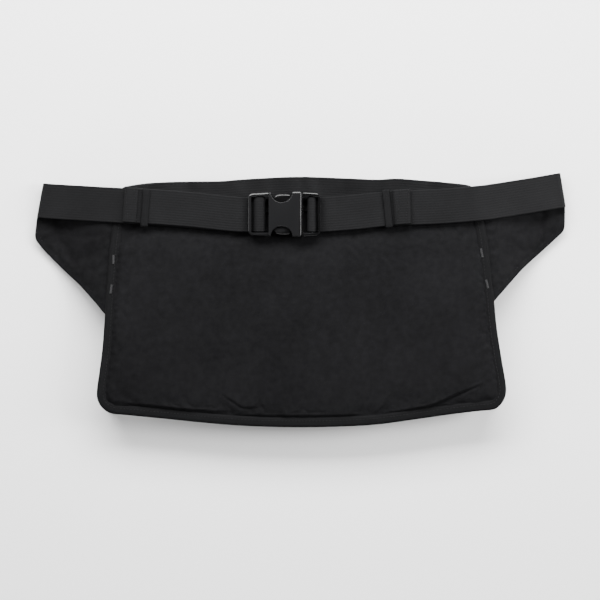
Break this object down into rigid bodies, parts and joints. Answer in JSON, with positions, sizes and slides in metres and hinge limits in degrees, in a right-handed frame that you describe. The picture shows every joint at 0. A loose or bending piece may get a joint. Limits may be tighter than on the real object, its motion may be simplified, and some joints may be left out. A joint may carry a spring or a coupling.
{
  "type": "waist pack",
  "caption": "Black waist pack lying on its front, plain back panel up, with wings and a buckled webbing belt folded flat across it.",
  "frame": {"origin": "middle of the pack's extent, on the surface its front face lies on", "axes": "+X along the belt towards the right wing as seen on the back panel, +Y towards the zipped top of the pouch, +Z out of the back panel"},
  "size_m": [0.4543, 0.218, 0.0454],
  "materials": {
    "panel_fabric": "woven nylon, matt",
    "lining_fabric": "thin plain weave",
    "foam": "closed-cell sheet",
    "binding_tape": "folded grosgrain",
    "webbing": "ribbed, matt",
    "elastic": "knitted elastic",
    "thread": "dense thread, slight sheen",
    "zip_tape": "woven tape",
    "zip_coil": "satin",
    "zip_metal": "satin paint",
    "buckle_plastic": "fine moulded texture, satin"
  },
  "bodies": {
    "pouch": {"front_panel": "panel_fabric", "front_lining": "lining_fabric", "front_binding": "binding_tape", "back_panel": "panel_fabric", "back_foam": "foam", "back_lining": "lining_fabric", "back_binding": "binding_tape", "side_gusset": "panel_fabric", "zip_strip_front": "panel_fabric", "zip_strip_back": "panel_fabric", "zipper_tape_front": "zip_tape", "zipper_tape_back": "zip_tape", "zipper_coil_front": "zip_coil", "zipper_coil_back": "zip_coil", "zip_end_tab_left": "panel_fabric", "zip_end_tab_right": "panel_fabric", "left_wing": "panel_fabric", "right_wing": "panel_fabric", "belt_webbing": "webbing", "left_strap": "webbing", "right_strap": "webbing", "bar_tacks": "thread"},
    "zipper_slider": {"zipper_slider": "zip_metal"},
    "zipper_puller": {"zipper_puller": "zip_metal"},
    "left_keeper": {"left_keeper": "elastic"},
    "right_keeper": {"right_keeper": "elastic"},
    "buckle_socket": {"buckle_socket": "buckle_plastic"},
    "buckle_plug": {"buckle_plug": "buckle_plastic"},
    "plug_prong_upper": {"plug_prong_upper": "buckle_plastic"},
    "plug_prong_lower": {"plug_prong_lower": "buckle_plastic"}
  },
  "joints": [
    {"name": "zip_slide", "type": "slide", "parent": "pouch", "child": "zipper_slider", "axis": [-1, 0, 0], "range_m": [0, 0.224], "deforming": ["zipper_coil_front", "zipper_coil_back"]},
    {"name": "puller_swing", "type": "hinge", "parent": "zipper_slider", "child": "zipper_puller", "pos_m": [0.112, 0.0983, 0.0156], "axis": [0, 0, -1], "range_deg": [0, 170]},
    {"name": "left_keeper_slide", "type": "slide", "parent": "pouch", "child": "left_keeper", "axis": [0.9978, -0.0663, 0], "range_m": [0, 0.03]},
    {"name": "right_keeper_slide", "type": "slide", "parent": "pouch", "child": "right_keeper", "axis": [-0.9947, -0.1028, 0], "range_m": [0, 0.022]},
    {"name": "socket_adjust", "type": "slide", "parent": "pouch", "child": "buckle_socket", "axis": [-1, 0, 0], "range_m": [0, 0.03], "deforming": ["left_strap"]},
    {"name": "plug_release", "type": "slide", "parent": "pouch", "child": "buckle_plug", "axis": [1, 0, 0], "range_m": [0, 0.027], "deforming": ["right_strap", "plug_prong_upper", "plug_prong_lower"]},
    {"name": "prong_upper_squeeze", "type": "hinge", "parent": "buckle_plug", "child": "plug_prong_upper", "pos_m": [0.0013, 0.08555, 0.0401], "axis": [0, 0, 1], "range_deg": [0, 9], "stiffness_Nm_per_rad": 0.6},
    {"name": "prong_lower_squeeze", "type": "hinge", "parent": "buckle_plug", "child": "plug_prong_lower", "pos_m": [0.0013, 0.06115, 0.0401], "axis": [0, 0, -1], "range_deg": [0, 9], "stiffness_Nm_per_rad": 0.6}
  ]
}
